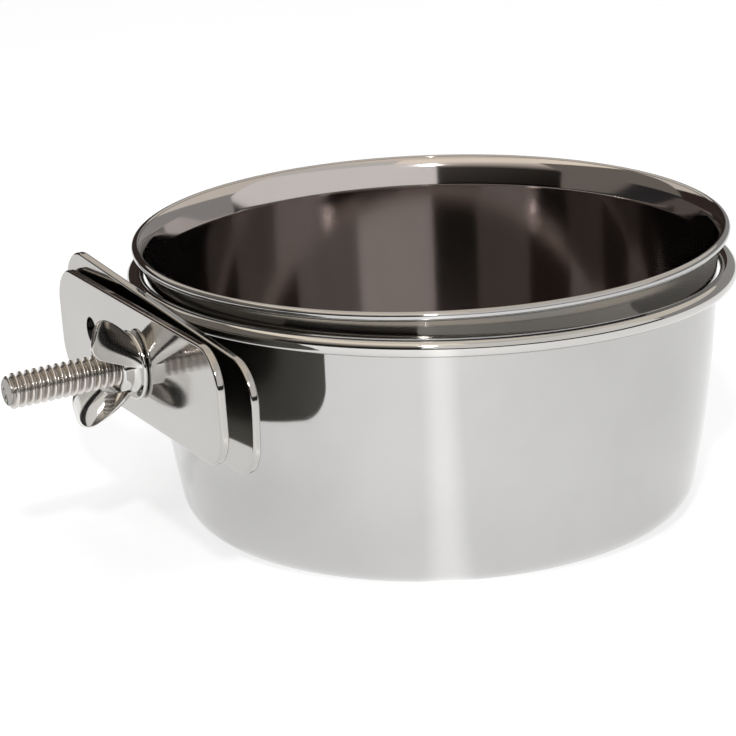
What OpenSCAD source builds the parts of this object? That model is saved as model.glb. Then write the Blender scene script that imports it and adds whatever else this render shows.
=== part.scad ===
// Bolt-on seed cup: a drawn steel cup held in a wire ring that clamps to cage bars.
// Origin on the cup axis at the plane it stands on. +Z is up, the bolt points along -X.

/* [Cup] */
// Diameter over the rolled rim
rim_d = 83; // [76:1:96]
// Height from the base to the top of the rim
cup_h = 40.3; // [39:0.1:48]
// Thickness of the cup sheet
cup_sheet = 0.6; // [0.4:0.05:0.9]
// Radius of the rolled bead round the rim
bead_r = 0.6; // [0.5:0.05:0.9]
// Distance of the flat base's edge inside the rim
base_inset = 10.5; // [10:0.1:15]
// Outside radius of the bottom corner
corner_r = 5.4; // [4:0.1:7]
// Radius of the wall's slight bow, seen from the side
wall_bow_r = 192; // [150:1:400]
// Angle of the flare under the rim, from upright
flare_angle = 16; // [14:0.5:18]

/* [Holder] */
// Diameter of the ring wire
wire_d = 2.5; // [2:0.1:3]
// Height of the ring's middle below the top of the rim
ring_drop = 5.8; // [5.3:0.1:7]
// Lean of the loose ring, one side of it against the flare
ring_lean = 1.8; // [0:0.1:2]
// Direction of the ring's high side, round from the clamp towards the viewer
ring_lean_turn = 17.5; // [0:0.5:90]
// Gap between the top of the cup's wall and the ring wire
ring_gap = 0.2; // [0.2:0.05:0.5]
// Clearance between the flare and the ring wire that it sits on
seat_gap = 0.05; // [0.03:0.01:0.08]
// Depth of the flat on the ring wire where the back plate is welded to it
weld_flat = 0.74; // [0.4:0.02:0.9]

/* [Clamp] */
// Length of each clamp plate
plate_l = 58; // [48:1:70]
// Height of each clamp plate
plate_h = 16; // [14:0.5:18]
// Thickness of each clamp plate
plate_t = 1.2; // [1:0.1:1.6]
// Radius of the plates' corners
plate_corner_r = 5.5; // [3:0.5:6]
// Rounding of the plates' edges
plate_edge_r = 0.35; // [0.2:0.05:0.45]
// Roll of the welded back plate about the bolt
back_plate_roll = 3.7; // [-4:0.1:4]
// Roll of the loose clamp plate about the bolt
clamp_plate_roll = -2; // [-4:0.1:4]
// Slant of the loose clamp plate, its near end farther out
clamp_plate_slant = 3.2; // [0:0.1:3.5]
// Gap between the far ends of the plates as shown
far_gap = 0.1; // [0.05:0.05:4]
// Droop of the bolt and its clamp, from level
clamp_droop = 1.3; // [0:0.1:3]
// Diameter of the small hole in the far half of the clamp plate
small_hole_d = 3.7; // [2:0.1:4]
// Distance of the small hole from the bolt along the clamp plate
small_hole_along = 16.5; // [12:0.5:18]
// Distance of the small hole above the clamp plate's middle
small_hole_rise = 1; // [0:0.1:2.5]

/* [Bolt] */
// Outside diameter of the bolt thread
bolt_d = 4.76; // [4.4:0.02:5]
// Thread pitch
thread_pitch = 1.058; // [0.8:0.002:1.2]
// Distance of the bolt's middle below the ring wire's middle
bolt_drop = 5.6; // [4.5:0.1:6]
// Length of the bolt in front of the back plate
bolt_reach = 21.7; // [16:0.1:26]
// Diameter of the flat bolt head behind the back plate
head_d = 6; // [5.6:0.1:6]
// Thickness of the bolt head
head_t = 1.3; // [1:0.1:1.4]

/* [Wing nut] */
// Thickness of the nut's sheet
nut_sheet = 0.8; // [0.6:0.05:0.9]
// Radius of the nut's round foot
foot_r = 4.4; // [4.2:0.1:5]
// Outside radius of the threaded hub
hub_r = 3.3; // [3.1:0.05:3.5]
// Height of the threaded hub above the clamp plate
hub_h = 2.9; // [2.4:0.1:3.4]
// Distance of each wing's hollow face from the bolt's middle
wing_offset = 3.5; // [3.3:0.05:3.8]
// Radius of the hollow in each wing
wing_hollow_r = 12; // [9:0.5:30]
// Reach of the wing tips in front of the clamp plate
wing_reach = 8.2; // [7.6:0.1:9]
// Radius of the wings' outer edge
wing_edge_r = 7.6; // [7:0.1:8]
// Reach of the wing tips' outer corners from the bolt's middle
wing_span_r = 8.5; // [8:0.1:8.6]
// Reach of the wing tips' inner corners from the bolt's middle
wing_inner_r = 4.3; // [3.8:0.1:5]
// Slope of the wing tips, from level
wing_tip_angle = 13; // [0:1:20]

/* [Hidden] */

round_fn = 180;
small_fn = 64;
steel = [0.78, 0.78, 0.76];
pale_steel = [0.85, 0.85, 0.83];
// A little more than flush, so that each cut passes right through
cut = 0.1;
// Clearance of the sliding plate and of the nut round the bolt
plate_fit = 0.08;
nut_fit = 0.05;
// Clearance between the nut's foot and the highest point of the slanted plate under it
foot_gap = 0.05;

wire_r = wire_d / 2;
ring_z = cup_h - ring_drop;
bolt_z = ring_z - bolt_drop;
base_r = rim_d / 2 - base_inset;
bead_z = cup_h - bead_r;
bead_ring_r = rim_d / 2 - bead_r;

// The top of the wall stands in from the rim by this much.
wall_inset = 1.8;
top_wall_r = rim_d / 2 - wall_inset;
ring_r = top_wall_r + ring_gap + wire_r;

// The flare is a cone that lies along the ring wire's high side, with the seat clearance between them.
seat_reach = wire_r + seat_gap;
seat_r = ring_r * cos(ring_lean) - seat_reach * cos(flare_angle);
seat_z = ring_z + ring_r * sin(ring_lean) + seat_reach * sin(flare_angle);
wall_top_z = seat_z - (seat_r - top_wall_r) / tan(flare_angle);
flare_end_r = seat_r + (bead_z - seat_z) * tan(flare_angle);

// The wall is an arc through the flare's lower end, tangent to the round bottom corner.
corner_to_top = [top_wall_r - base_r, wall_top_z - corner_r];
chord = norm(corner_to_top);
inner_reach = wall_bow_r - corner_r;
chord_share = (chord * chord + inner_reach * inner_reach - wall_bow_r * wall_bow_r)
    / (2 * chord * inner_reach);
chord_turn = atan2(corner_to_top[1], corner_to_top[0]);
bow_turn = chord_turn + acos(chord_share);
bow_centre = [base_r, corner_r] + inner_reach * [cos(bow_turn), sin(bow_turn)];
wall_low_z = corner_r + corner_r * sin(bow_turn + 180);

// Distances out along the bolt, as if it were level
back_face = ring_r + wire_r - weld_flat - bolt_drop * tan(clamp_droop);
jaw_face = back_face + plate_t;
clamp_back = jaw_face + far_gap + plate_l / 2 * sin(clamp_plate_slant);
clamp_front = clamp_back + plate_t;
nut_seat = clamp_front + foot_r * tan(clamp_plate_slant) + foot_gap;
bolt_r = bolt_d / 2;

// Depth of the thread, and the shares of one pitch taken by its flats and its slopes
thread_depth = 0.6134 * thread_pitch;
crest_share = 0.125;
root_share = 0.25;
slope_share = (1 - crest_share - root_share) / 2;
thread_turns = floor((bolt_reach + plate_t) / thread_pitch) - 1;
tip_chamfer = 0.5;

// Places local x up, local z along the drooping bolt away from the cup, a given distance out.
module on_bolt(out) {
    translate([-back_face, 0, bolt_z])
        rotate([0, -90 - clamp_droop, 0])
            translate([0, 0, out - back_face])
                children();
}

// Half section of the cup's outside, shrunk by an inset for its inside.
module cup_half(inset, top) {
    flare_foot_r = top_wall_r - inset / cos(flare_angle);
    flare_top_r = flare_foot_r + (top - wall_top_z) * tan(flare_angle);
    intersection() {
        translate(bow_centre)
            circle(r = wall_bow_r - inset, $fn = round_fn * 8);
        translate([0, wall_low_z])
            square([rim_d / 2, wall_top_z - wall_low_z]);
    }
    translate([base_r, corner_r])
        circle(r = corner_r - inset, $fn = small_fn);
    translate([0, inset])
        square([base_r, wall_low_z]);
    polygon([
        [0, wall_top_z - cut],
        [flare_foot_r - cut * tan(flare_angle), wall_top_z - cut],
        [flare_top_r, top],
        [0, top],
    ]);
}

module cup() {
    color(steel) {
        difference() {
            rotate_extrude($fn = round_fn)
                cup_half(0, bead_z);
            rotate_extrude($fn = round_fn)
                cup_half(cup_sheet, bead_z + cut);
        }
        rotate_extrude($fn = round_fn)
            translate([bead_ring_r, bead_z])
                circle(r = bead_r, $fn = small_fn);
    }
}

module holder_ring() {
    color(pale_steel)
        difference() {
            translate([0, 0, ring_z])
                rotate([0, 0, ring_lean_turn])
                    rotate([0, ring_lean, 0])
                        rotate_extrude($fn = round_fn)
                            translate([ring_r, 0])
                                circle(r = wire_r, $fn = small_fn);
            on_bolt(back_face)
                translate([-plate_h, -plate_l / 2, 0])
                    cube([2 * plate_h, plate_l, wire_d]);
        }
}

// Section of a bar as wide as given and as thick as a plate, with rounded edges.
module plate_section(width) {
    square([width - 2 * plate_edge_r, plate_t], center = true);
    square([width, plate_t - 2 * plate_edge_r], center = true);
    for (side = [-1, 1], face = [-1, 1])
        translate([side * (width / 2 - plate_edge_r), face * (plate_t / 2 - plate_edge_r)])
            circle(r = plate_edge_r, $fn = small_fn);
}

// Rounded steel plate, long along local y, standing on local z = 0.
module plate_blank() {
    translate([0, 0, plate_t / 2]) {
        rotate([90, 0, 0])
            linear_extrude(height = plate_l - 2 * plate_corner_r, center = true)
                plate_section(plate_h);
        rotate([90, 0, 90])
            linear_extrude(height = plate_h - 2 * plate_corner_r, center = true)
                plate_section(plate_l);
        for (up = [-1, 1], along = [-1, 1])
            translate([
                up * (plate_h / 2 - plate_corner_r),
                along * (plate_l / 2 - plate_corner_r),
                0,
            ])
                rotate_extrude($fn = small_fn)
                    intersection() {
                        plate_section(2 * plate_corner_r);
                        translate([0, -plate_t])
                            square([plate_corner_r, 2 * plate_t]);
                    }
    }
}

module back_plate() {
    color(steel)
        on_bolt(back_face)
            difference() {
                rotate([0, 0, -back_plate_roll])
                    plate_blank();
                translate([0, 0, -cut])
                    cylinder(r = bolt_r, h = plate_t + 2 * cut, $fn = small_fn);
            }
}

module clamp_plate() {
    color(steel)
        on_bolt(clamp_back + plate_t / 2)
            rotate([-clamp_plate_slant, 0, 0])
                rotate([0, 0, -clamp_plate_roll])
                    translate([0, 0, -plate_t / 2])
                        difference() {
                            plate_blank();
                            translate([small_hole_rise, small_hole_along, -cut])
                                cylinder(d = small_hole_d, h = plate_t + 2 * cut, $fn = small_fn);
                            translate([0, 0, -cut])
                                cylinder(r = bolt_r + plate_fit, h = plate_t + 2 * cut, $fn = small_fn);
                        }
}

// Corners of the bolt's half section over one turn of the thread.
function turn_points(start) = [
    [bolt_r, start],
    [bolt_r, start + crest_share * thread_pitch],
    [bolt_r - thread_depth, start + (crest_share + slope_share) * thread_pitch],
    [bolt_r - thread_depth, start + (crest_share + slope_share + root_share) * thread_pitch],
];

module bolt() {
    thread_start = plate_t;
    thread_end = thread_start + thread_turns * thread_pitch;
    bolt_end = plate_t + bolt_reach;
    color(pale_steel)
        on_bolt(back_face) {
            translate([0, 0, -head_t])
                cylinder(d = head_d, h = head_t, $fn = small_fn);
            rotate_extrude($fn = small_fn)
                polygon([
                    [0, -cut],
                    [bolt_r, -cut],
                    for (turn = [0 : thread_turns - 1])
                        each turn_points(thread_start + turn * thread_pitch),
                    [bolt_r, thread_end],
                    [bolt_r, bolt_end - tip_chamfer],
                    [bolt_r - tip_chamfer, bolt_end],
                    [0, bolt_end],
                ]);
        }
}

// Side view of one wing: local x up from the bolt, local y away from the clamp plate.
module wing_outline() {
    tip_drop = (wing_span_r - wing_inner_r) * tan(wing_tip_angle);
    root_x = nut_fit + bolt_r / 2;
    root_end_x = foot_r * 0.75;
    root_rise = nut_sheet * 1.5;
    intersection() {
        translate([wing_span_r - wing_edge_r, wing_edge_r + root_rise / 2])
            circle(r = wing_edge_r, $fn = small_fn * 2);
        polygon([
            [root_x, 0],
            [root_x, hub_h],
            [wing_inner_r, wing_reach],
            [wing_span_r, wing_reach - tip_drop],
            [wing_span_r, 0],
        ]);
    }
    square([root_end_x, root_rise]);
}

// One wing: the side view pressed out as a shallow trough, hollow away from the bolt.
module wing() {
    trough_middle = wing_span_r / 2;
    intersection() {
        translate([0, -wing_offset, 0])
            rotate([90, 0, 0])
                linear_extrude(height = 2 * wing_offset, center = true)
                    wing_outline();
        translate([trough_middle, -wing_offset - wing_hollow_r, 0])
            difference() {
                cylinder(r = wing_hollow_r + nut_sheet, h = wing_reach, $fn = round_fn);
                translate([0, 0, -cut])
                    cylinder(r = wing_hollow_r, h = wing_reach + 2 * cut, $fn = round_fn);
            }
    }
}

module wing_nut() {
    color(pale_steel)
        on_bolt(nut_seat)
            difference() {
                union() {
                    cylinder(r = foot_r, h = nut_sheet, $fn = small_fn);
                    cylinder(r = hub_r, h = hub_h, $fn = small_fn);
                    for (half_turn = [0, 180])
                        rotate([0, 0, half_turn])
                            wing();
                }
                translate([0, 0, -cut])
                    cylinder(r = bolt_r + nut_fit, h = hub_h + 2 * cut, $fn = small_fn);
            }
}

cup();
holder_ring();
back_plate();
bolt();
clamp_plate();
wing_nut();
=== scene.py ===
import math

import bmesh
import bpy
from mathutils import Matrix, Vector


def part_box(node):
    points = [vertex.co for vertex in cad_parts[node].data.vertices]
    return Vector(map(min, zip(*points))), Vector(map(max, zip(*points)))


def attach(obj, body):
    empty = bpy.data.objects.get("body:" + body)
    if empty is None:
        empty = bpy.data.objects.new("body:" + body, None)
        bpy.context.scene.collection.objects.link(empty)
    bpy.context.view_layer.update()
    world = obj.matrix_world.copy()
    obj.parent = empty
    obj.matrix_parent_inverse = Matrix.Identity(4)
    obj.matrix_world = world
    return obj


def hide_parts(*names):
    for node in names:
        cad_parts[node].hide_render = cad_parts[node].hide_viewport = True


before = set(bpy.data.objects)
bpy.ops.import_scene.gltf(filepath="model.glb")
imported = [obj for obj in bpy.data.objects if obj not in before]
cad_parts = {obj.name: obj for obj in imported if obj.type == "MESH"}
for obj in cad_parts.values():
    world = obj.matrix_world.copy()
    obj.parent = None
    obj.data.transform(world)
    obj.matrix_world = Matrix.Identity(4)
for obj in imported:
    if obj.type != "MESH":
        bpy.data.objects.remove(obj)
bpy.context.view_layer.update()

MM = 0.001

# Sizes read from the CAD model
CUP_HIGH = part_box("cup")[1]
RIM_R = CUP_HIGH.x
CUP_H = CUP_HIGH.z

# The ring, as in the CAD model: it leans, with its high side against the cup's flare
WALL_INSET = 1.8 * MM
RING_GAP = 0.2 * MM
RING_DROP = 5.8 * MM
WIRE_R = 1.25 * MM
RING_Z = CUP_H - RING_DROP
RING_R = RIM_R - WALL_INSET + RING_GAP + WIRE_R
RING_LEAN = math.radians(1.8)
RING_LEAN_TURN = math.radians(17.5)

# The clamp's line, as in the CAD model: the bolt leaves the ring's flat and droops outward
CLAMP_DROOP = math.radians(1.3)
WELD_FLAT = 0.74 * MM
BOLT_DROP = 5.6 * MM
PLATE_T = 1.2 * MM
BOLT_REACH = 21.7 * MM
BOLT_Z = RING_Z - BOLT_DROP
BACK_FACE = RING_R + WIRE_R - WELD_FLAT - BOLT_DROP * math.tan(CLAMP_DROOP)
BOLT_START = Vector((-BACK_FACE, 0, BOLT_Z))
ON_BOLT = Matrix.Translation(BOLT_START) @ Matrix.Rotation(math.radians(-90) - CLAMP_DROOP, 4, "Y")
BOLT_AXIS = ON_BOLT.to_3x3() @ Vector((0, 0, 1))

# Cup sizes, as in the CAD model
INNER_INSET = 0.8 * MM
BEAD_R = 0.6 * MM
BASE_R = RIM_R - 10.5 * MM
CORNER_R = 5.4 * MM
WALL_BOW_R = 192 * MM
SEAT_GAP = 0.05 * MM
FLARE_ANGLE = math.radians(16)
NECK_TILT = math.radians(5)
LIP_TILT = math.radians(35)
BRIM_TILT = math.radians(57)
CONE_TILT = math.radians(15.2)
# Reaches of the curves that join the cup's neck, lip and inside, and the angles of the bead's arc
NECK_REACH = 1.2 * MM
LIP_REACH = 1.4 * MM
BRIM_REACH = 0.55 * MM
CONE_REACH = 2.49 * MM
BEND_DROP = 4.1 * MM
BEND_REACH = 0.5 * MM
BEAD_START, BEAD_END, BRIM_START = -62, 135, 115
CUP_TURN_STEPS = 360

# Wing nut and clamp plate, as in the CAD model
CLAMP_SLANT = math.radians(3.2)
FAR_GAP = 0.1 * MM
PLATE_L = 58 * MM
FOOT_R = 4.75 * MM
FOOT_GAP = 0.05 * MM
NUT_BORE_R = 2.43 * MM
HUB_R = 3.25 * MM
HUB_H = 2.9 * MM
NUT_SHEET = 0.55 * MM
# Outer and inner corners of each wing's tip: up from the bolt, beside it, and out from the foot
NEAR_TIP = ((8.2 * MM, -2.9 * MM, 5.8 * MM), (3.5 * MM, -3.8 * MM, 7.9 * MM))
FAR_TIP = ((8.9 * MM, -2.8 * MM, 7.2 * MM), (3.3 * MM, -3.5 * MM, 8.3 * MM))
# Each wing's way from the foot's rim to its tip: where on the rim it stands, in degrees, how it
# leaves the rim, where its middle lies, and how far it swells and is rounded at the tip
WING_STEPS = (28, 24)
WING_TURN = (8, 82)
WING_ROOT_R = FOOT_R - 0.35 * MM
WING_ROOT_Z = 0.4 * MM
WING_LEAVE_R = 3.8 * MM
WING_LEAVE = 0.9 * MM
WING_MIDDLE = (Vector((7.5, -1.3, 3.2)) * MM, Vector((1.9, -3.7, 4.4)) * MM)
WING_SWELL = Vector((0.35, -0.55, 0)) * MM
WING_TIP_SWELL = 0.3
WING_ROUNDING = 0.14
# The foot's rounded rim, the hub's rounded top, and the fillet between the two
FOOT_EDGE_R = 0.3 * MM
HUB_EDGE_R = 0.35 * MM
HUB_FILLET = ((0.3 * MM, 0), (0.05 * MM, 0.9 * MM), (0, 1.5 * MM))
BORE_CHAMFER = (0.2 * MM, 0.25 * MM)
NUT_BEVEL = 0.12 * MM

# Bolt thread
BOLT_R = 2.38 * MM
PITCH = 1.058 * MM
THREAD_DEPTH = 0.6134 * PITCH
HEAD_R = 3 * MM
HEAD_T = 1.3 * MM
TIP_CHAMFER = 0.55 * MM
HEAD_EDGE_R = 0.35 * MM
THREAD_STEPS = 64

# The photograph's camera
VIEW_AZIMUTH = math.radians(-27.63)
VIEW_ELEVATION = math.radians(17.51)
VIEW_ROLL = math.radians(-2.43)
VIEW_DISTANCE = 491.6 * MM
AIM_RIGHT = -9.41 * MM
AIM_HEIGHT = 20.18 * MM
SENSOR = 36.0
FOCAL_PIXELS = 3500.0
FRAME_PIXELS = 736.0
CLIP = (0.01, 50)


# Geometry helpers


def arc(centre, radius, start, end, steps):
    """Points of an arc in the (radius, height) plane, from start to end in degrees."""
    points = []
    for k in range(steps + 1):
        a = math.radians(start + (end - start) * k / steps)
        points.append((centre[0] + radius * math.cos(a), centre[1] + radius * math.sin(a)))
    return points


def bezier(p, steps):
    """Points of a cubic curve through the four given points' hull, without its first point."""
    points = []
    for k in range(1, steps + 1):
        t = k / steps
        u = 1 - t
        w = (u * u * u, 3 * u * u * t, 3 * u * t * t, t * t * t)
        points.append(tuple(sum(w[i] * p[i][j] for i in range(4)) for j in range(2)))
    return points


def finish_mesh(name, bm, body, node):
    """Turns a bmesh into a smooth-shaded piece that rides on a body and replaces a node."""
    bmesh.ops.recalc_face_normals(bm, faces=bm.faces)
    mesh = bpy.data.meshes.new(name)
    bm.to_mesh(mesh)
    bm.free()
    mesh.polygons.foreach_set("use_smooth", [True] * len(mesh.polygons))
    piece = bpy.data.objects.new(name, mesh)
    bpy.context.collection.objects.link(piece)
    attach(piece, body)
    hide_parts(node)
    return piece


def turned(outline, steps, closed=False):
    """A surface of revolution round Z from (radius, height) points."""
    bm = bmesh.new()
    rings = []
    for r, z in outline:
        if r < 1e-7:
            rings.append([bm.verts.new((0, 0, z))])
            continue
        ring = []
        for k in range(steps):
            a = 2 * math.pi * k / steps
            ring.append(bm.verts.new((r * math.cos(a), r * math.sin(a), z)))
        rings.append(ring)
    pairs = list(zip(rings, rings[1:]))
    if closed:
        pairs.append((rings[-1], rings[0]))
    for low, high in pairs:
        for k in range(steps):
            n = (k + 1) % steps
            if len(low) == 1:
                bm.faces.new((low[0], high[k], high[n]))
            elif len(high) == 1:
                bm.faces.new((low[k], low[n], high[0]))
            else:
                bm.faces.new((low[k], low[n], high[n], high[k]))
    return bm


# Pieces


def wall_bow(base_r, corner_r, top):
    """Centre of the bowed wall's arc, and the angles at which it starts and ends."""
    across, up = top[0] - base_r, top[1] - corner_r
    chord = math.hypot(across, up)
    reach = WALL_BOW_R - corner_r
    share = (chord * chord + reach * reach - WALL_BOW_R ** 2) / (2 * chord * reach)
    turn = math.atan2(up, across) + math.acos(share)
    centre = (base_r + reach * math.cos(turn), corner_r + reach * math.sin(turn))
    start = math.degrees(turn) + 180
    end = math.degrees(math.atan2(top[1] - centre[1], top[0] - centre[0])) % 360
    return centre, start, end


def polar(centre, radius, degrees):
    """The point of a circle at an angle, in the (radius, height) plane."""
    a = math.radians(degrees)
    return (centre[0] + radius * math.cos(a), centre[1] + radius * math.sin(a))


def slope(point, tilt, reach):
    """The point a given way up from another, on a line that leans outward by tilt."""
    return (point[0] + reach * math.sin(tilt), point[1] + reach * math.cos(tilt))


def cup_outline():
    """Half section of the cup: outside from the middle up to the bead, then the inside down."""
    seat_reach = WIRE_R + SEAT_GAP
    seat = (RING_R * math.cos(RING_LEAN) - seat_reach * math.cos(FLARE_ANGLE),
            RING_Z + RING_R * math.sin(RING_LEAN) + seat_reach * math.sin(FLARE_ANGLE))
    top_wall_r = RIM_R - WALL_INSET
    wall_top = (top_wall_r, seat[1] - (seat[0] - top_wall_r) / math.tan(FLARE_ANGLE))
    centre, start, end = wall_bow(BASE_R, CORNER_R, wall_top)
    outside = [(0, 0), (BASE_R * 0.5, 0), (BASE_R * 0.97, 0)]
    outside += arc((BASE_R, CORNER_R), CORNER_R, 270, start, 14)
    outside += arc(centre, WALL_BOW_R, start, end, 24)[1:]

    bead = (RIM_R - BEAD_R, CUP_H - BEAD_R)
    join = polar(bead, BEAD_R, BEAD_START)
    outside += bezier([wall_top, slope(wall_top, NECK_TILT, NECK_REACH),
                       slope(join, LIP_TILT, -LIP_REACH), join], 18)
    outside += arc(bead, BEAD_R, BEAD_START, BEAD_END, 24)[1:]

    lip = polar(bead, BEAD_R, BRIM_START)
    bend = (top_wall_r - INNER_INSET, CUP_H - BEND_DROP)
    cone_top = slope(bend, CONE_TILT, CONE_REACH)
    inner_top = (top_wall_r - INNER_INSET, wall_top[1])
    inside = bezier([lip, slope(lip, BRIM_TILT, -BRIM_REACH),
                     slope(cone_top, CONE_TILT, BRIM_REACH), cone_top], 16)
    cone_foot = slope(bend, CONE_TILT, BEND_REACH)
    inside += [cone_foot]
    inside += bezier([cone_foot, bend, bend, (bend[0], bend[1] - BEND_REACH)], 8)
    inside += [inner_top]
    inside += arc(centre, WALL_BOW_R - INNER_INSET, end, start, 24)[1:]
    inside += arc((BASE_R, CORNER_R), CORNER_R - INNER_INSET, start, 270, 14)[1:]
    inside += [(BASE_R * 0.97, INNER_INSET), (BASE_R * 0.5, INNER_INSET), (0, INNER_INSET)]
    return outside, inside


def make_cup():
    """The cup; the faces of its inside take the piece's second material."""
    outside, inside = cup_outline()
    bm = turned(outside + inside, CUP_TURN_STEPS)
    bm.faces.ensure_lookup_table()
    first_inside = (len(outside) - 1) * CUP_TURN_STEPS
    for face in bm.faces[first_inside:]:
        face.material_index = 1
    return finish_mesh("cup_shell", bm, "cup", "cup")


def make_ring():
    """The wire ring, flat where the back plate is welded on."""
    bm = turned(arc((RING_R, 0), WIRE_R, 0, 360, 48)[:-1], CUP_TURN_STEPS, closed=True)
    lean = Matrix.Rotation(RING_LEAN_TURN, 4, "Z") @ Matrix.Rotation(RING_LEAN, 4, "Y")
    bmesh.ops.transform(bm, matrix=Matrix.Translation((0, 0, RING_Z)) @ lean, verts=bm.verts)
    to_bolt = ON_BOLT.inverted()
    for v in bm.verts:
        local = to_bolt @ v.co
        if local.z > 0:
            local.z = 0
            v.co = ON_BOLT @ local
    return finish_mesh("ring_wire", bm, "holder", "holder_ring")


def thread_radius(turn_share):
    """Radius of the thread's surface, a given share of a turn along its profile."""
    corners = ((0, 1), (0.125, 1), (0.4375, 0), (0.6875, 0), (1, 1))
    for (a, ra), (b, rb) in zip(corners, corners[1:]):
        if turn_share <= b:
            crest = ra + (rb - ra) * (turn_share - a) / (b - a)
            break
    return BOLT_R - THREAD_DEPTH * (1 - crest)


def make_bolt():
    """The bolt: a helical thread out of the back plate, and a low head behind it."""
    shares = (0, 0.06, 0.125, 0.22, 0.33, 0.4375, 0.5, 0.625, 0.6875, 0.78, 0.89)
    end = PLATE_T + BOLT_REACH
    turns = int(end / PITCH) + 3
    bm = bmesh.new()
    rows = []
    for turn in range(-1, turns):
        for share in shares:
            row = []
            for k in range(THREAD_STEPS):
                a = 2 * math.pi * k / THREAD_STEPS
                out = min(max(PITCH * (turn + share + k / THREAD_STEPS), 0), end)
                r = min(thread_radius(share), BOLT_R - TIP_CHAMFER + (end - out))
                row.append(bm.verts.new((-r * math.cos(a), r * math.sin(a), out)))
            rows.append(row)
    per_turn = len(shares)
    for i in range(len(rows) - 1):
        for k in range(THREAD_STEPS):
            if k + 1 < THREAD_STEPS:
                corners = (rows[i][k], rows[i][k + 1], rows[i + 1][k + 1], rows[i + 1][k])
            elif i + 1 + per_turn < len(rows):
                corners = (rows[i][k], rows[i + per_turn][0], rows[i + 1 + per_turn][0], rows[i + 1][k])
            else:
                continue
            bm.faces.new(corners)
    bmesh.ops.remove_doubles(bm, verts=bm.verts, dist=1e-6)
    rim = [e for e in bm.edges if e.is_boundary and all(v.co.z > end - 1e-6 for v in e.verts)]
    middle = bm.verts.new((0, 0, end))
    for e in rim:
        bm.faces.new((e.verts[0], e.verts[1], middle))
    head = [(0, 0), (HEAD_R - HEAD_EDGE_R, 0)]
    head += arc((HEAD_R - HEAD_EDGE_R, HEAD_EDGE_R), HEAD_EDGE_R, 270, 360, 6)[1:]
    head += [(HEAD_R, HEAD_T), (BOLT_R, HEAD_T)]
    head_mesh = turned(head, THREAD_STEPS)
    bmesh.ops.translate(head_mesh, vec=(0, 0, -HEAD_T), verts=head_mesh.verts)
    merge(bm, head_mesh)
    bmesh.ops.transform(bm, matrix=ON_BOLT, verts=bm.verts)
    return finish_mesh("bolt_thread", bm, "holder", "bolt")


def cubic(points, t):
    """The point of a cubic curve in space."""
    u = 1 - t
    weights = (u * u * u, 3 * u * u * t, 3 * u * t * t, t * t * t)
    return sum((Vector(p) * w for p, w in zip(points, weights)), Vector())


def nut_wing(tip, half_turn):
    """One pressed wing: a curved shell that leaves the foot's rim and swells towards a rounded tip."""
    bm = bmesh.new()
    along, across = WING_STEPS
    outer, inner = Vector(tip[0]), Vector(tip[1])
    grid = []
    for j in range(across + 1):
        v = j / across
        a = math.radians(WING_TURN[0] + (WING_TURN[1] - WING_TURN[0]) * v)
        rim = Vector((math.cos(a), -math.sin(a), 0))
        swell = WING_SWELL * math.sin(math.pi * v)
        root = rim * WING_ROOT_R + Vector((0, 0, WING_ROOT_Z))
        leave = rim * WING_LEAVE_R + Vector((WING_LEAVE * (1 - v), 0, WING_LEAVE)) + swell
        middle = WING_MIDDLE[0].lerp(WING_MIDDLE[1], v) + swell
        path = (root, leave, middle, outer.lerp(inner, v) + swell * WING_TIP_SWELL)
        reach = 1 - WING_ROUNDING * abs(2 * v - 1) ** 5
        grid.append([bm.verts.new(cubic(path, reach * i / along)) for i in range(along + 1)])
    for j in range(across):
        for i in range(along):
            bm.faces.new((grid[j][i], grid[j][i + 1], grid[j + 1][i + 1], grid[j + 1][i]))
    bmesh.ops.recalc_face_normals(bm, faces=bm.faces)
    bmesh.ops.solidify(bm, geom=bm.faces, thickness=NUT_SHEET)
    bmesh.ops.recalc_face_normals(bm, faces=bm.faces)
    bmesh.ops.rotate(bm, matrix=Matrix.Rotation(math.radians(half_turn), 3, "Z"), verts=bm.verts)
    return bm


def merge(bm, other):
    """Adds another bmesh's geometry to this one."""
    mesh = bpy.data.meshes.new("merged")
    other.to_mesh(mesh)
    other.free()
    bm.from_mesh(mesh)
    bpy.data.meshes.remove(mesh)


def make_nut():
    """The wing nut: a dished round foot with a threaded collar, and two pressed wings."""
    rim = FOOT_EDGE_R
    (low, _), (bend, bend_z), (foot, foot_z) = HUB_FILLET
    outline = [(NUT_BORE_R, 0)]
    outline += arc((FOOT_R - rim, rim), rim, 270, 450, 10)
    outline += bezier([(FOOT_R - rim, 2 * rim), (HUB_R + low, 2 * rim),
                       (HUB_R + bend, bend_z), (HUB_R + foot, foot_z)], 10)
    outline += arc((HUB_R - HUB_EDGE_R, HUB_H - HUB_EDGE_R), HUB_EDGE_R, 0, 90, 6)
    outline += [(NUT_BORE_R + BORE_CHAMFER[0], HUB_H), (NUT_BORE_R, HUB_H - BORE_CHAMFER[1])]
    bm = turned(outline, 96, closed=True)
    merge(bm, nut_wing(NEAR_TIP, 0))
    merge(bm, nut_wing(FAR_TIP, 180))
    seat = PLATE_T + FAR_GAP + PLATE_L / 2 * math.sin(CLAMP_SLANT) + PLATE_T
    seat += FOOT_R * math.tan(CLAMP_SLANT) + FOOT_GAP
    bmesh.ops.translate(bm, vec=(0, 0, seat), verts=bm.verts)
    bmesh.ops.transform(bm, matrix=ON_BOLT, verts=bm.verts)
    piece = finish_mesh("wing_nut_sheet", bm, "wing_nut", "wing_nut")
    bevel = piece.modifiers.new("edges", "BEVEL")
    bevel.width = NUT_BEVEL
    bevel.segments = 2
    bevel.limit_method = "ANGLE"
    bevel.angle_limit = math.radians(50)
    return piece


# Materials


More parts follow.
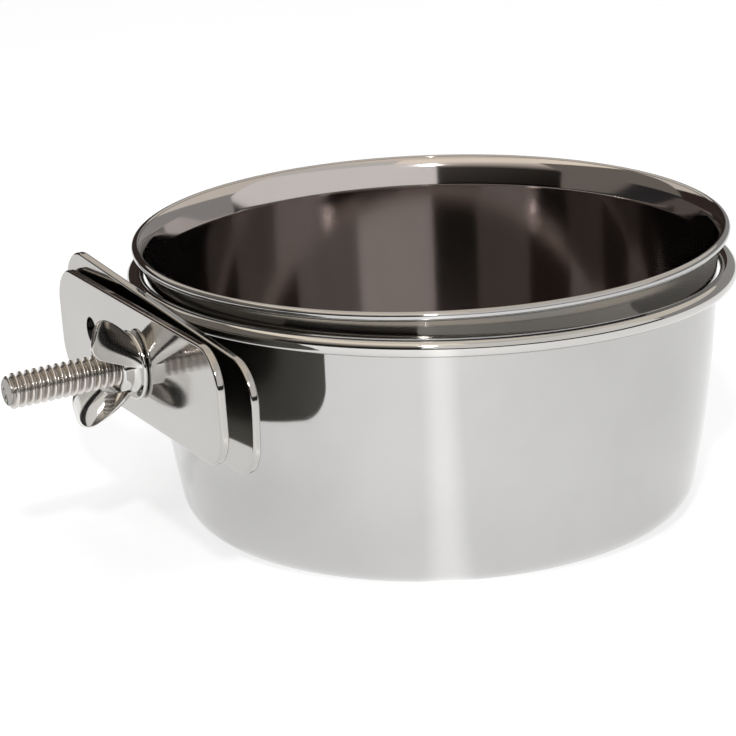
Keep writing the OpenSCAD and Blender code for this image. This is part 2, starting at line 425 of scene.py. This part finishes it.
def wire(tree, made, inputs):
    """Gives each listed input of a node another node's output, or a plain value."""
    for key, value in inputs.items():
        if isinstance(value, bpy.types.NodeSocket):
            tree.links.new(value, made.inputs[key])
        else:
            made.inputs[key].default_value = value
    return made


def node(tree, kind, inputs, operation=None):
    """A new shader node with its inputs set."""
    made = tree.nodes.new("ShaderNode" + kind)
    if operation:
        made.operation = operation
    return wire(tree, made, inputs)


def ranged(tree, value, low, high, to_low=0.0, to_high=1.0):
    """A value carried from one range to another, and held at its ends."""
    return node(tree, "MapRange", {"Value": value, "From Min": low, "From Max": high,
                                   "To Min": to_low, "To Max": to_high}).outputs["Result"]


def empty_tree(owner):
    """The node tree of a material or the world, with nothing in it."""
    owner.use_nodes = True
    owner.node_tree.nodes.clear()
    return owner.node_tree


DULL_ROUGHNESS = 0.2
# Painted shade: the tone that darkens the plates' faces turned towards the cup
BACK_SHADE_TONE = (0.30, 0.30, 0.28)
DULL_AND_SHADED_FACING = (0.8, 0.9)
# Painted shade at the bottom of the bolt's thread
GROOVE_SHADE_TONE = 0.45
# Painted shade inside the clamp plate's small hole, on its bore and on the back plate behind it
HOLE_SHADE_TONE = 0.22
HOLE_R = 1.85 * MM
CLAMP_MIDDLE_Z = 1.5 * PLATE_T + FAR_GAP + PLATE_L / 2 * math.sin(CLAMP_SLANT)
CLAMP_TURN = math.radians(2)
MIDDLE_OF_CLAMP = (ON_BOLT @ Matrix.Translation((0, 0, CLAMP_MIDDLE_Z))
                   @ Matrix.Rotation(-CLAMP_SLANT, 4, "X") @ Matrix.Rotation(CLAMP_TURN, 4, "Z"))
HOLE_SPOT = MIDDLE_OF_CLAMP @ Vector((1.0 * MM, 16.5 * MM, 0))
HOLE_AXIS = MIDDLE_OF_CLAMP.to_3x3() @ Vector((0, 0, 1))

# The steel's noise: fine marks and grain drawn out round an axis, and slow clouds of haze and tint
RINGWISE_SLOWNESS = 0.0012
MARKS_SCALE = 26000.0
MARKS_SPAN = (0.72, 0.80)
GRAIN_SCALE = 2600.0
CLOUD_SCALE = 60.0
CLOUD_SPAN = (0.3, 0.7)
HAZE = (0.85, 1.15)
CLOUD_TINT = 0.93
RELIEF_DEPTH = 0.01 * MM


def darkened(tree, place, colour, line, radii, tone):
    """A colour darkened to a tone inside the first of two radii round a line through a spot."""
    spot, axis = line
    away = node(tree, "VectorMath", {0: place["Object"], 1: spot}, "SUBTRACT")
    sideways = node(tree, "VectorMath", {0: away.outputs[0], 1: axis}, "CROSS_PRODUCT")
    radius = node(tree, "VectorMath", {0: sideways.outputs[0]}, "LENGTH").outputs["Value"]
    share = ranged(tree, radius, radii[0], radii[1], tone)
    return node(tree, "VectorMath", {0: colour, "Scale": share}, "SCALE").outputs[0]


def steel(name, colour, polish, brushed, share, axis, anisotropy, bump, dull_shaded_back=False, shaded_grooves=False):
    """Polished steel; a share of it is fine marks round an axis, which are rougher than the rest.

    A dull shaded back is unpolished where the surface faces the cup's axis, and painted darker
    there as painted shade. Painted shade also darkens everything inside the line of the clamp
    plate's small hole: its bore and the back plate's face behind it. Shaded grooves are painted
    dark at the bottom of the bolt's thread as painted shade.
    """
    mat = bpy.data.materials.new(name)
    tree = empty_tree(mat)
    shader = node(tree, "BsdfPrincipled", {})
    node(tree, "OutputMaterial", {0: shader.outputs[0]})
    tangent = node(tree, "Tangent", {})
    tangent.direction_type = "RADIAL"
    tangent.axis = axis

    place = node(tree, "TexCoord", {}).outputs
    at = node(tree, "SeparateXYZ", {0: place["Object"]}).outputs
    flat = node(tree, "CombineXYZ", {0: at[0], 1: at[1]})
    radius = node(tree, "VectorMath", {0: flat.outputs[0]}, "LENGTH")
    around = node(tree, "Math", {0: at[1], 1: at[0]}, "ARCTAN2")
    slow = node(tree, "Math", {0: around.outputs[0], 1: RINGWISE_SLOWNESS}, "MULTIPLY")
    ringwise = node(tree, "CombineXYZ", {0: radius.outputs["Value"], 1: slow.outputs[0], 2: at[2]}).outputs[0]
    marks = node(tree, "TexNoise", {"Vector": ringwise, "Scale": MARKS_SCALE, "Detail": 1.0})
    grain = node(tree, "TexNoise", {"Vector": ringwise, "Scale": GRAIN_SCALE, "Detail": 4.0, "Roughness": 0.6})
    clouds = node(tree, "TexNoise", {"Vector": place["Object"], "Scale": CLOUD_SCALE, "Detail": 4.0})
    cloud = clouds.outputs["Fac"]

    scratched = ranged(tree, marks.outputs["Fac"], MARKS_SPAN[0] - share, MARKS_SPAN[1] - share,
                       polish, brushed)
    haze = ranged(tree, cloud, *CLOUD_SPAN, *HAZE)
    rough = node(tree, "Math", {0: scratched, 1: haze}, "MULTIPLY").outputs[0]
    tint = node(tree, "ValToRGB", {0: cloud})
    ramp = tint.color_ramp.elements
    ramp[0].position, ramp[1].position = CLOUD_SPAN
    ramp[0].color = (*(c * CLOUD_TINT for c in colour), 1)
    ramp[1].color = (*colour, 1)
    base = tint.outputs[0]
    # The faces towards the cup are made rough, and painted darker there as painted shade
    if dull_shaded_back:
        facing = node(tree, "VectorMath", {0: place["Normal"], 1: (1, 0, 0)}, "DOT_PRODUCT")
        back = ranged(tree, facing.outputs["Value"], *DULL_AND_SHADED_FACING)
        rough = node(tree, "Math", {0: back, 1: DULL_ROUGHNESS, 2: rough}, "MULTIPLY_ADD").outputs[0]
        dark = node(tree, "Mix", {})
        dark.data_type = "RGBA"
        dark.blend_type = "MULTIPLY"
        wire(tree, dark, {"Factor": back, 6: base, 7: (*BACK_SHADE_TONE, 1)})
        # Painted shade inside the line of the clamp plate's small hole
        base = darkened(tree, place, dark.outputs[2], (HOLE_SPOT, HOLE_AXIS),
                        (HOLE_R + 0.05 * MM, HOLE_R + 0.1 * MM), HOLE_SHADE_TONE)
    # Painted shade: the bolt's thread is darkened towards its roots
    if shaded_grooves:
        base = darkened(tree, place, base, (BOLT_START, BOLT_AXIS),
                        (BOLT_R - THREAD_DEPTH, BOLT_R - 0.2 * THREAD_DEPTH), GROOVE_SHADE_TONE)

    relief = node(tree, "Bump", {"Height": grain.outputs["Fac"], "Strength": bump, "Distance": RELIEF_DEPTH})
    wire(tree, shader, {
        "Metallic": 1.0, "Anisotropic": anisotropy, "Anisotropic Rotation": 0.25,
        "Tangent": tangent.outputs[0], "Base Color": base, "Roughness": rough, "Normal": relief.outputs[0],
    })
    return mat


def assign(piece, *mats):
    """Gives a new piece its materials, in the order of its faces' material numbers."""
    slots = piece.data.materials
    for index, mat in enumerate(mats):
        if index < len(slots):
            slots[index] = mat
        else:
            slots.append(mat)


def assign_cad(name, mat):
    """Gives a CAD object its material, and changes nothing else of it."""
    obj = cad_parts[name]
    for slot in obj.material_slots:
        slot.link = "OBJECT"
        slot.material = mat


# Stage, lights and camera

RIGHT = Vector((math.cos(VIEW_AZIMUTH), math.sin(VIEW_AZIMUTH), 0))
TOWARD = Vector((math.sin(VIEW_AZIMUTH), -math.cos(VIEW_AZIMUTH), 0))


def direction(azimuth, elevation):
    """Unit vector; azimuth 0 points at the camera and grows to the camera's right."""
    a, e = math.radians(azimuth), math.radians(elevation)
    return (TOWARD * math.cos(a) + RIGHT * math.sin(a)) * math.cos(e) + Vector((0, 0, math.sin(e)))


def stage_mesh(name, bm, mat):
    """A mesh of the stage, which isn't part of the object."""
    mesh = bpy.data.meshes.new(name)
    bm.to_mesh(mesh)
    bm.free()
    mesh.materials.append(mat)
    obj = bpy.data.objects.new(name, mesh)
    bpy.context.collection.objects.link(obj)
    return obj


CARD_STEPS = 24


def card(name, azimuths, elevations, radius, colour, strength, fade=0):
    """A curved card round the object that only reflections see; a fade darkens it towards its foot."""
    mat = bpy.data.materials.new(name)
    tree = empty_tree(mat)
    tone = node(tree, "Attribute", {})
    tone.attribute_name = "tone"
    glow = node(tree, "Emission", {"Color": tone.outputs["Color"], "Strength": strength})
    node(tree, "OutputMaterial", {0: glow.outputs[0]})

    bm = bmesh.new()
    tone = bm.verts.layers.float_color.new("tone")
    grid = []
    for i in range(CARD_STEPS + 1):
        e = elevations[0] + (elevations[1] - elevations[0]) * i / CARD_STEPS
        level = (i / CARD_STEPS) ** fade
        row = []
        for k in range(CARD_STEPS + 1):
            a = azimuths[0] + (azimuths[1] - azimuths[0]) * k / CARD_STEPS
            spot = bm.verts.new(direction(a, e) * radius)
            spot[tone] = (*(c * level for c in colour), 1)
            row.append(spot)
        grid.append(row)
    for low, high in zip(grid, grid[1:]):
        for k in range(CARD_STEPS):
            bm.faces.new((low[k], low[k + 1], high[k + 1], high[k]))
    obj = stage_mesh(name, bm, mat)
    obj.visible_camera = False
    obj.visible_diffuse = False
    obj.visible_shadow = False
    obj.visible_transmission = False


# The floor seen directly glows and takes shadow; as a light it is plain and pale
WORLD_LIGHT = 0.3
FLOOR_HALF = 3.0
FLOOR_GLOW = 0.74
FLOOR_SHADED = (0.36, 0.36, 0.36, 1)
FLOOR_PLAIN = (0.8, 0.8, 0.8, 1)
# A painted pool of light on the floor in front of the cup, a brighter glow and no lamp: degrees from the
# camera's side, and level
PAINTED_FLOOR_POOL = ((-60, 1.0), (-6, 1.2), (-1, 1.6), (2, 1.6), (7, 1.2), (60, 1.0))


def seen_directly(tree):
    """1 for the rays of the camera, of metal and of glass, and 0 for those that only carry light."""
    path = node(tree, "LightPath", {}).outputs
    seen = path["Is Camera Ray"]
    for kind in ("Is Glossy Ray", "Is Transmission Ray"):
        seen = node(tree, "Math", {0: seen, 1: path[kind]}, "MAXIMUM").outputs[0]
    return seen


def make_floor():
    """A plain floor: the camera, metal and glass see the same white and the object's shadow on it.

    In front of the cup the white carries a painted pool of light.
    """
    mat = bpy.data.materials.new("floor")
    tree = empty_tree(mat)
    place = node(tree, "TexCoord", {}).outputs["Object"]
    right, toward = (node(tree, "VectorMath", {0: place, 1: line}, "DOT_PRODUCT").outputs["Value"]
                     for line in (RIGHT, TOWARD))
    angle = node(tree, "Math", {0: right, 1: toward}, "ARCTAN2").outputs[0]
    # Painted light: the floor's glow rises in a pool in front of the cup
    painted_pool = node(tree, "ValToRGB", {0: ranged(tree, angle, -math.pi, math.pi)})
    ramp = painted_pool.color_ramp.elements
    for degrees, level in PAINTED_FLOOR_POOL:
        ramp.new((degrees + 180) / 360).color = (level, level, level, 1)
    for end in (0, -1):
        ramp[end].color = (1, 1, 1, 1)
    white = node(tree, "Emission", {"Color": painted_pool.outputs[0], "Strength": FLOOR_GLOW})
    shaded = node(tree, "BsdfDiffuse", {"Color": FLOOR_SHADED})
    seen = node(tree, "AddShader", {0: white.outputs[0], 1: shaded.outputs[0]})
    plain = node(tree, "BsdfDiffuse", {"Color": FLOOR_PLAIN})
    whole = node(tree, "MixShader", {0: seen_directly(tree), 1: plain.outputs[0], 2: seen.outputs[0]})
    node(tree, "OutputMaterial", {0: whole.outputs[0]})

    bm = bmesh.new()
    square = ((-1, -1), (1, -1), (1, 1), (-1, 1))
    bm.faces.new([bm.verts.new((x * FLOOR_HALF, y * FLOOR_HALF, 0)) for x, y in square])
    stage_mesh("floor", bm, mat)


def make_world():
    """White where the camera, metal or glass sees it, and softer as a light."""
    world = bpy.data.worlds.new("studio")
    bpy.context.scene.world = world
    tree = empty_tree(world)
    level = ranged(tree, seen_directly(tree), 0.0, 1.0, WORLD_LIGHT)
    back = node(tree, "Background", {"Color": (1, 1, 1, 1), "Strength": level})
    node(tree, "OutputWorld", {0: back.outputs[0]})


def lamp(name, azimuth, elevation, distance, size, watts):
    """A round soft lamp aimed at the middle of the object."""
    data = bpy.data.lights.new(name, "AREA")
    data.shape = "DISK"
    data.size = size
    data.energy = watts
    obj = bpy.data.objects.new(name, data)
    bpy.context.collection.objects.link(obj)
    d = direction(azimuth, elevation)
    obj.location = Vector((0, 0, AIM_HEIGHT)) + d * distance
    obj.rotation_mode = "QUATERNION"
    obj.rotation_quaternion = d.to_track_quat("Z", "Y")
    obj.visible_camera = False
    return obj


def make_lights():
    """A key lamp in front, three soft fills, and the cards that the polished steel mirrors."""
    lamp("key", -2, 40, 0.7, 0.05, 2.2)
    for fill in (lamp("fill_left", -20, 42, 0.8, 0.12, 0.6), lamp("fill_right", 30, 42, 0.8, 0.10, 0.4),
                 lamp("top", 150, 72, 0.9, 0.5, 2.4)):
        fill.visible_glossy = False
    card("low_dark", (-128, 90), (0.5, 11), 0.95, (1.0, 1.0, 1.0), 0.03)
    card("left_far", (-128, -60), (11, 50), 0.95, (1.0, 0.90, 0.80), 0.2)
    card("left_near", (-60, -5), (11, 50), 0.95, (1.0, 0.90, 0.80), 1.0, fade=2)
    card("right", (-5, 90), (11, 50), 0.95, (1.0, 0.97, 0.94), 0.9)
    card("pale_right", (16, 90), (50, 67), 0.97, (0.92, 0.90, 0.86), 0.8)
    card("grey_back", (90, 175), (0.5, 24), 0.96, (0.34, 0.33, 0.32), 1.0)
    card("dark_back", (175, 232), (0.5, 24), 0.96, (0.045, 0.032, 0.028), 1.0)
    card("warm_left", (-128, 16), (50, 67), 0.99, (1.0, 0.90, 0.76), 1.15)
    card("warm_top", (-180, 180), (67, 90), 1.0, (1.0, 0.90, 0.78), 0.9)
    card("warm_back", (90, 232), (24, 67), 0.98, (1.0, 0.92, 0.82), 0.8)
    card("key_glow", (-3.5, -0.5), (36, 44), 0.72, (1.0, 1.0, 1.0), 40.0)


def make_camera():
    """The photograph's camera."""
    data = bpy.data.cameras.new("camera")
    data.sensor_width = SENSOR
    data.lens = FOCAL_PIXELS / FRAME_PIXELS * SENSOR
    data.clip_start, data.clip_end = CLIP
    cam = bpy.data.objects.new("camera", data)
    bpy.context.collection.objects.link(cam)
    back = TOWARD * math.cos(VIEW_ELEVATION) + Vector((0, 0, math.sin(VIEW_ELEVATION)))
    up = back.cross(RIGHT)
    x = RIGHT * math.cos(VIEW_ROLL) + up * math.sin(VIEW_ROLL)
    y = up * math.cos(VIEW_ROLL) - RIGHT * math.sin(VIEW_ROLL)
    target = RIGHT * AIM_RIGHT + Vector((0, 0, AIM_HEIGHT))
    turn = Matrix((x, y, back)).transposed()
    cam.matrix_world = Matrix.Translation(target + back * VIEW_DISTANCE) @ turn.to_4x4()
    bpy.context.scene.camera = cam


cup = make_cup()
ring = make_ring()
bolt = make_bolt()
nut = make_nut()

assign(cup, steel("cup_steel", (0.52, 0.515, 0.51), 0.06, 0.2, 0.04, "Z", 0.9, 0.004),
       # The inside's steel is a warmer copy of the cup's steel; its warm tint is a painted reflection
       steel("cup_inside_steel", (0.59, 0.56, 0.55), 0.07, 0.1, 0.0, "Z", 0.0, 0.0))
assign(ring, steel("ring_steel", (0.60, 0.59, 0.57), 0.05, 0.2, 0.02, "Z", 0.5, 0.01))
assign(bolt, steel("bolt_steel", (0.70, 0.66, 0.62), 0.25, 0.3, 0.05, "X", 0.3, 0.05, shaded_grooves=True))
plate_steel = steel("plate_steel", (0.50, 0.485, 0.465), 0.09, 0.3, 0.06, "X", 0.3, 0.03, dull_shaded_back=True)
assign_cad("back_plate", plate_steel)
assign_cad("clamp_plate", plate_steel)
assign(nut, steel("nut_steel", (0.65, 0.64, 0.62), 0.08, 0.25, 0.04, "X", 0.2, 0.02))

make_floor()
make_world()
make_lights()
make_camera()
bpy.context.scene.view_settings.view_transform = "Standard"
